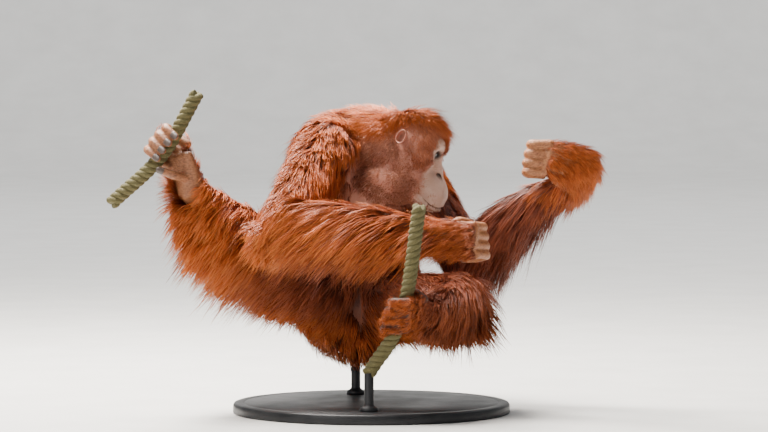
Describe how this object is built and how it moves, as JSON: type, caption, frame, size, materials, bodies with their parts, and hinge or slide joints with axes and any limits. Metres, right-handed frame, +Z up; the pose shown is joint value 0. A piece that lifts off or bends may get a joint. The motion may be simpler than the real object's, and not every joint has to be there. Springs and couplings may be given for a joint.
{
  "type": "orangutan model",
  "caption": "Life-size adult female orangutan hanging between cut rope lengths gripped by the feet, one arm across the belly, one raised, on a round display stand.",
  "frame": {"origin": "on the floor, under the middle of the whole part's box", "axes": "+Z up, -Y towards the picture's camera, +X the way her head looks"},
  "size_m": [0.93, 0.6108, 0.6187],
  "materials": {
    "coat": "long, coarse orange-red hair, paler and thinner on the chest and belly",
    "skin": "bare grey-brown skin, paler round the eyes and on the muzzle, with hair on the back of the hands and feet",
    "eye": "dark brown and wet",
    "rope": "three-strand twisted rope, olive brown, worn pale on the crests",
    "stand": "satin dark grey paint"
  },
  "bodies": {
    "root": {"head": "skin", "ear_right": "skin", "ear_left": "skin", "eye_right": "eye", "eye_left": "eye", "trunk": "coat", "upper_arm_right": "coat", "upper_arm_left": "coat", "forearm_right": "coat", "forearm_left": "coat", "thigh_right": "coat", "thigh_left": "coat", "shank_right": "coat", "shank_left": "coat", "hand_right": "skin", "hand_left": "skin", "foot_right": "skin", "foot_left": "skin", "rope_right_foot": "rope", "rope_left_foot": "rope", "stand_base": "stand", "stand_rod_rump": "stand", "stand_rod_rope": "stand"}
  },
  "joints": []
}
